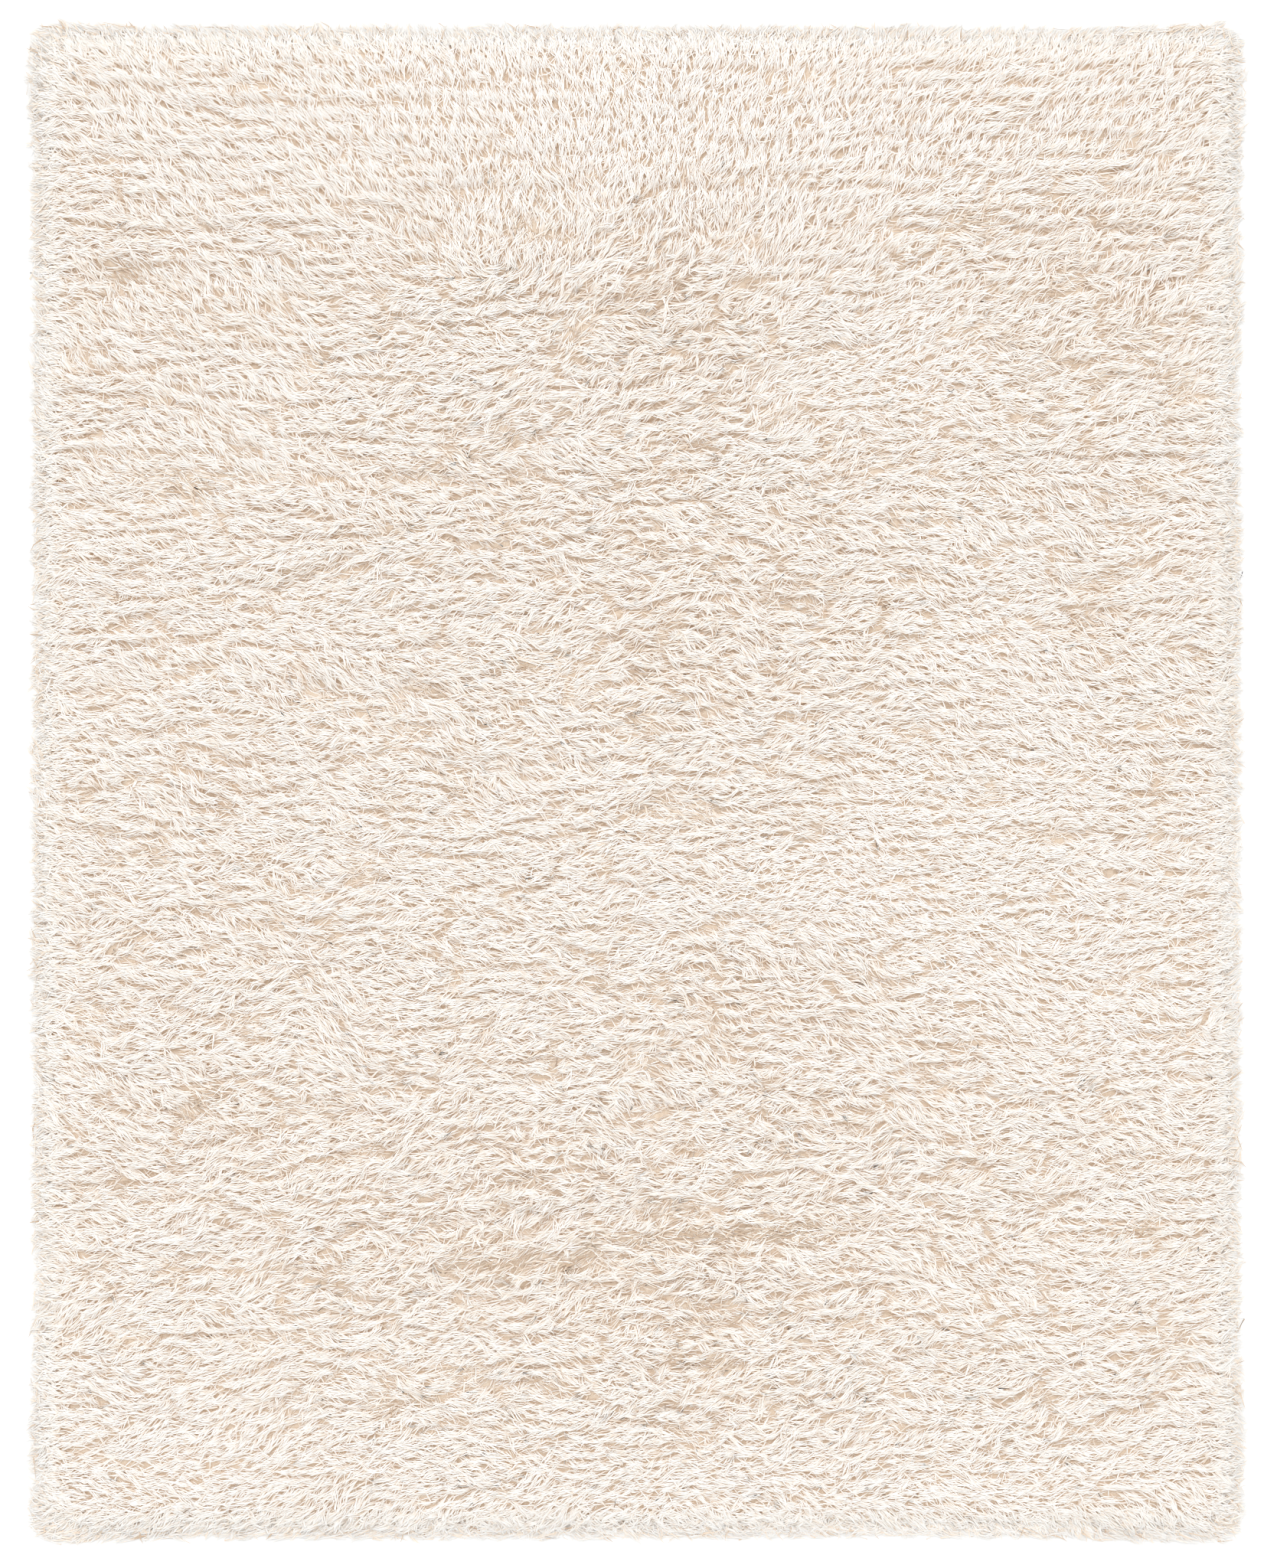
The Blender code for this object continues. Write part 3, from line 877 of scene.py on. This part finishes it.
def off_middle(aside, share, along, width, yarn_length, rng):
    """How far the yarns lie off their lock's middle: side by side, fanned out, curling and splayed."""
    locks, yarns = aside.shape[:2]
    fanned = FAN_WIDTH + rng.uniform(*FAN, (locks, 1, 1)) * (share - FAN_PLACE)
    curl = rng.uniform(*YARN_CURL, (locks, yarns, 1))
    phase = rng.uniform(0, 2 * np.pi, (locks, yarns, 1))
    curl = curl * np.sin(phase + 2 * np.pi * rng.uniform(*CURL_TURNS, (locks, yarns, 1)) * along)
    splay = rng.normal(0, YARN_SPLAY, (locks, yarns, 1)) * yarn_length
    return aside * width / 2 * fanned + curl * (CURL_AT_ROOT + along) + splay * (along - 0.5)


def lock_lift(aside, share, along, width, sunk):
    """How high the yarns lie over the pile's top."""
    rise = smooth_step(share, *ROOT_BAND)
    lift = CROWN_RISE * rise - ROOT_DEPTH * (1 - rise)
    lift = lift - (CROWN_RISE + TIP_DROP) * smooth_step(share, *TIP_BAND)
    lift = lift - YARN_ROOT_DEPTH * (1 - smooth_step(along, *ROOT_BAND))
    return lift + LOCK_ARCH * width * (1.0 - aside**2) * rise - LOCK_DEPTH - SUNK_DEPTH * sunk


def lock_tones(x, y, middle, sunk, level, rng):
    """The tones of the locks' yarns: lighter where the pile lies close and where they lie high, darker in a
    parting. The lighter tones are painted light and the darker ones painted shade; the base tone and its
    noise are the yarn's own."""
    locks, yarns = middle.shape[:2]
    noise = rng.normal(0, LOCK_NOISE, (locks, 1)) + rng.normal(0, YARN_NOISE, (locks, yarns))
    noise = noise * kept(x, y, CLOSE_NOISE)[:, None]
    halfway = middle[:, :, YARN_SPANS // 2]
    depth = parting(halfway[..., 0], halfway[..., 1]) + SUNK_PAINTED_SHADE_DEPTH * sunk[..., 0]
    tone = LOCK_TONE + LOCK_CLOSE_PAINTED_LIGHT * closeness(x, y)[:, None] + noise
    return tone - fold_painted_shade(depth, rng) + LEVEL_PAINTED_LIGHT_AND_SHADE * level[..., 0]


def comb_locks(x, y, rng):
    """The yarns of the locks at those places: their lines, their half widths and their tones."""
    locks, yarns = len(x), YARNS_PER_LOCK
    length, line, turns = lock_lines(x, y, rng)
    width = rng.uniform(*LOCK_WIDTH, locks)[:, None, None]
    first, last, sunk = between_partings(line, rng)
    start = rng.uniform(*YARN_START, (locks, yarns, 1))
    part = np.minimum(rng.uniform(*YARN_PART, (locks, yarns, 1)), 1.0 - start)
    along = np.linspace(0, 1, YARN_SPANS + 1)
    share = first + (last - first) * (start + part * along)
    middle, turn = along_line(line, share), along_line(turns, share)
    aside = (np.arange(yarns) + rng.uniform(*YARN_PLACE, (locks, yarns))) / yarns * 2 - 1
    aside = aside[..., None]
    off = off_middle(aside, share, along, width, part * length[:, None, None], rng)
    fuzz = rng.normal(0, LOCK_RIM_FUZZ, (locks, 1, 1)) + rng.normal(0, LOCK_RIM_FUZZ, (locks, yarns, 1))
    reach = rim_reach(x, y)[:, None, None] + fuzz
    px, py = middle[..., 0] - off * np.sin(turn), middle[..., 1] + off * np.cos(turn)
    px, py = held_inside(px, py, reach)
    level = rng.normal(0, LOCK_LEVEL, (locks, 1, 1)) + rng.normal(0, YARN_LEVEL, (locks, yarns, 1))
    level = level * kept(x, y, CLOSE_LEVEL)[:, None, None]
    pz = rest_on(px, py, lock_lift(aside, share, along, width, sunk) + level, rng)
    taper = 1.0 - YARN_TAPER * smooth_step(along[:-1], *TAPER_BAND)
    half = rng.uniform(*YARN_WIDTH, (locks, yarns, 1)) / 2 * taper
    roll = rng.normal(0, YARN_ROLL, (locks, yarns, 1)) - LOCK_ROLL * aside
    roll = roll + rng.normal(0, YARN_ROLL, (locks, yarns, 1)) * along[:-1]
    tone = toned(lock_tones(x, y, middle, sunk, level, rng), px[..., -2], py[..., -2])
    return *ribbons(px, py, pz, turn, roll, half), tone.ravel()


def comb_singles(x, y, rng, length, width, depth, stray, tone, tone_noise):
    """Single yarns at those places, that far under the top: their lines, half widths and tones."""
    count = len(x)
    wave = rng.normal(0, SINGLE_WAVE, count)
    line, turns = lines_over(x, y, rng.uniform(*length, count), rng.normal(0, stray, count), wave, rng)
    share = np.broadcast_to(np.linspace(0, 1, YARN_SPANS + 1), (count, 1, YARN_SPANS + 1))
    middle, turn = along_line(line, share), along_line(turns, share)
    reach = rim_reach(x, y)[:, None, None] + rng.normal(0, RIM_FUZZ, (count, 1, 1))
    px, py = held_inside(middle[..., 0], middle[..., 1], reach)
    close = closeness(x, y)
    depth = (depth * (1.0 - SINGLE_CLOSE_DEPTH * close))[:, None, None]
    lift = rng.normal(0, SINGLE_LEVEL, (count, 1, 1)) - depth
    lift = lift - SINGLE_ROOT_DEPTH * (1 - smooth_step(share, *SINGLE_ROOT_BAND))
    pz = rest_on(px, py, lift, rng)
    half = rng.uniform(*width, (count, 1, 1)) / 2 * (1.0 - SINGLE_TAPER * share[..., :-1])
    roll = rng.normal(0, SINGLE_ROLL, (count, 1, 1))
    roll = roll + rng.normal(0, SINGLE_ROLL, (count, 1, 1)) * share[..., :-1]
    # Lighter where the pile lies close, painted light, and darker in a parting, painted shade
    tone = tone + SINGLE_CLOSE_PAINTED_LIGHT * close + rng.normal(0, tone_noise, count)
    tone = tone - SINGLE_DARKEST * rng.uniform(0, 1, count) ** 4 - fold_painted_shade(parting(x, y), rng)
    return *ribbons(px, py, pz, turn, roll, half), toned(tone, px[:, 0, -2], py[:, 0, -2])


def make_pile():
    """The loose yarn: the single yarns as one piece, and the locks as one piece in each of six parts."""
    rng = np.random.default_rng(PILE_SEED)
    material = yarn_material()
    x, y = scattered(RIM_STEP, rng)
    depth = inside_edge(x, y)[0]
    rim = (depth > RIM_BAND[0]) & (depth < RIM_BAND[1])
    under = comb_singles(*scattered(UNDER_STEP, rng), rng, **UNDER_YARN)
    hanging = comb_singles(x[rim], y[rim], rng, **RIM_YARN)
    pieces = [yarn_mesh("pile_under", *map(np.concatenate, zip(under, hanging)), material)]
    x, y = drawn_together(*scattered(LOCK_STEP, rng))
    for side, of_side in (("left", x < 0), ("right", x >= 0)):
        for band, low, high in PILE_BANDS:
            here = of_side & (y >= low) & (y < high)
            pieces.append(yarn_mesh(f"pile_{band}_{side}", *comb_locks(x[here], y[here], rng), material))
    return pieces


# ---- Floor, light and camera ----

def make_floor():
    material, _, shader = principled("pale_floor", roughness=0.9, sheen=0.0)
    shader.inputs["Base Color"].default_value = FLOOR_COLOUR
    bpy.ops.mesh.primitive_plane_add(size=FLOOR_SIZE, location=(0, 0, -FLOOR_DROP))
    floor = bpy.context.object
    floor.name = "floor"
    floor.data.materials.append(material)


def make_light():
    """An even sky, and one sun that is soft by the angle it fills."""
    world = bpy.data.worlds.new("studio")
    world.use_nodes = True
    sky = world.node_tree.nodes["Background"]
    sky.inputs["Color"].default_value = SKY_COLOUR
    sky.inputs["Strength"].default_value = SKY_STRENGTH
    lamp = bpy.data.lights.new("key", "SUN")
    lamp.angle = SUN_ANGLE
    lamp.energy = SUN_STRENGTH
    light = bpy.data.objects.new("key", lamp)
    light.location = LIGHT_DISTANCE * Vector(SUN_FROM)
    light.rotation_euler = (-Vector(SUN_FROM)).to_track_quat("-Z", "Y").to_euler()
    scene = bpy.context.scene
    scene.collection.objects.link(light)
    scene.world = world
    scene.cycles.diffuse_bounces = DIFFUSE_BOUNCES
    scene.cycles.filter_width = FILTER_WIDTH
    scene.view_settings.view_transform = "Standard"
    scene.view_settings.look = "None"


def make_camera():
    """Straight above, with a long lens, framed as the photograph."""
    data = bpy.data.cameras.new("camera")
    data.lens = LENS
    data.sensor_width = SENSOR
    camera = bpy.data.objects.new("camera", data)
    frame_height = PHOTO_SIZE[1] * METRES_PER_PIXEL
    across = (PHOTO_SIZE[0] / 2 - RUG_MIDDLE_PIXEL[0]) * METRES_PER_PIXEL
    along = (RUG_MIDDLE_PIXEL[1] - PHOTO_SIZE[1] / 2) * METRES_PER_PIXEL
    camera.location = (across, along, frame_height * LENS / SENSOR + SCALE_HEIGHT)
    bpy.context.scene.collection.objects.link(camera)
    bpy.context.scene.camera = camera


make_camera()
make_light()
make_floor()
ground = make_ground()
underpile = make_underpile()
pile = make_pile()
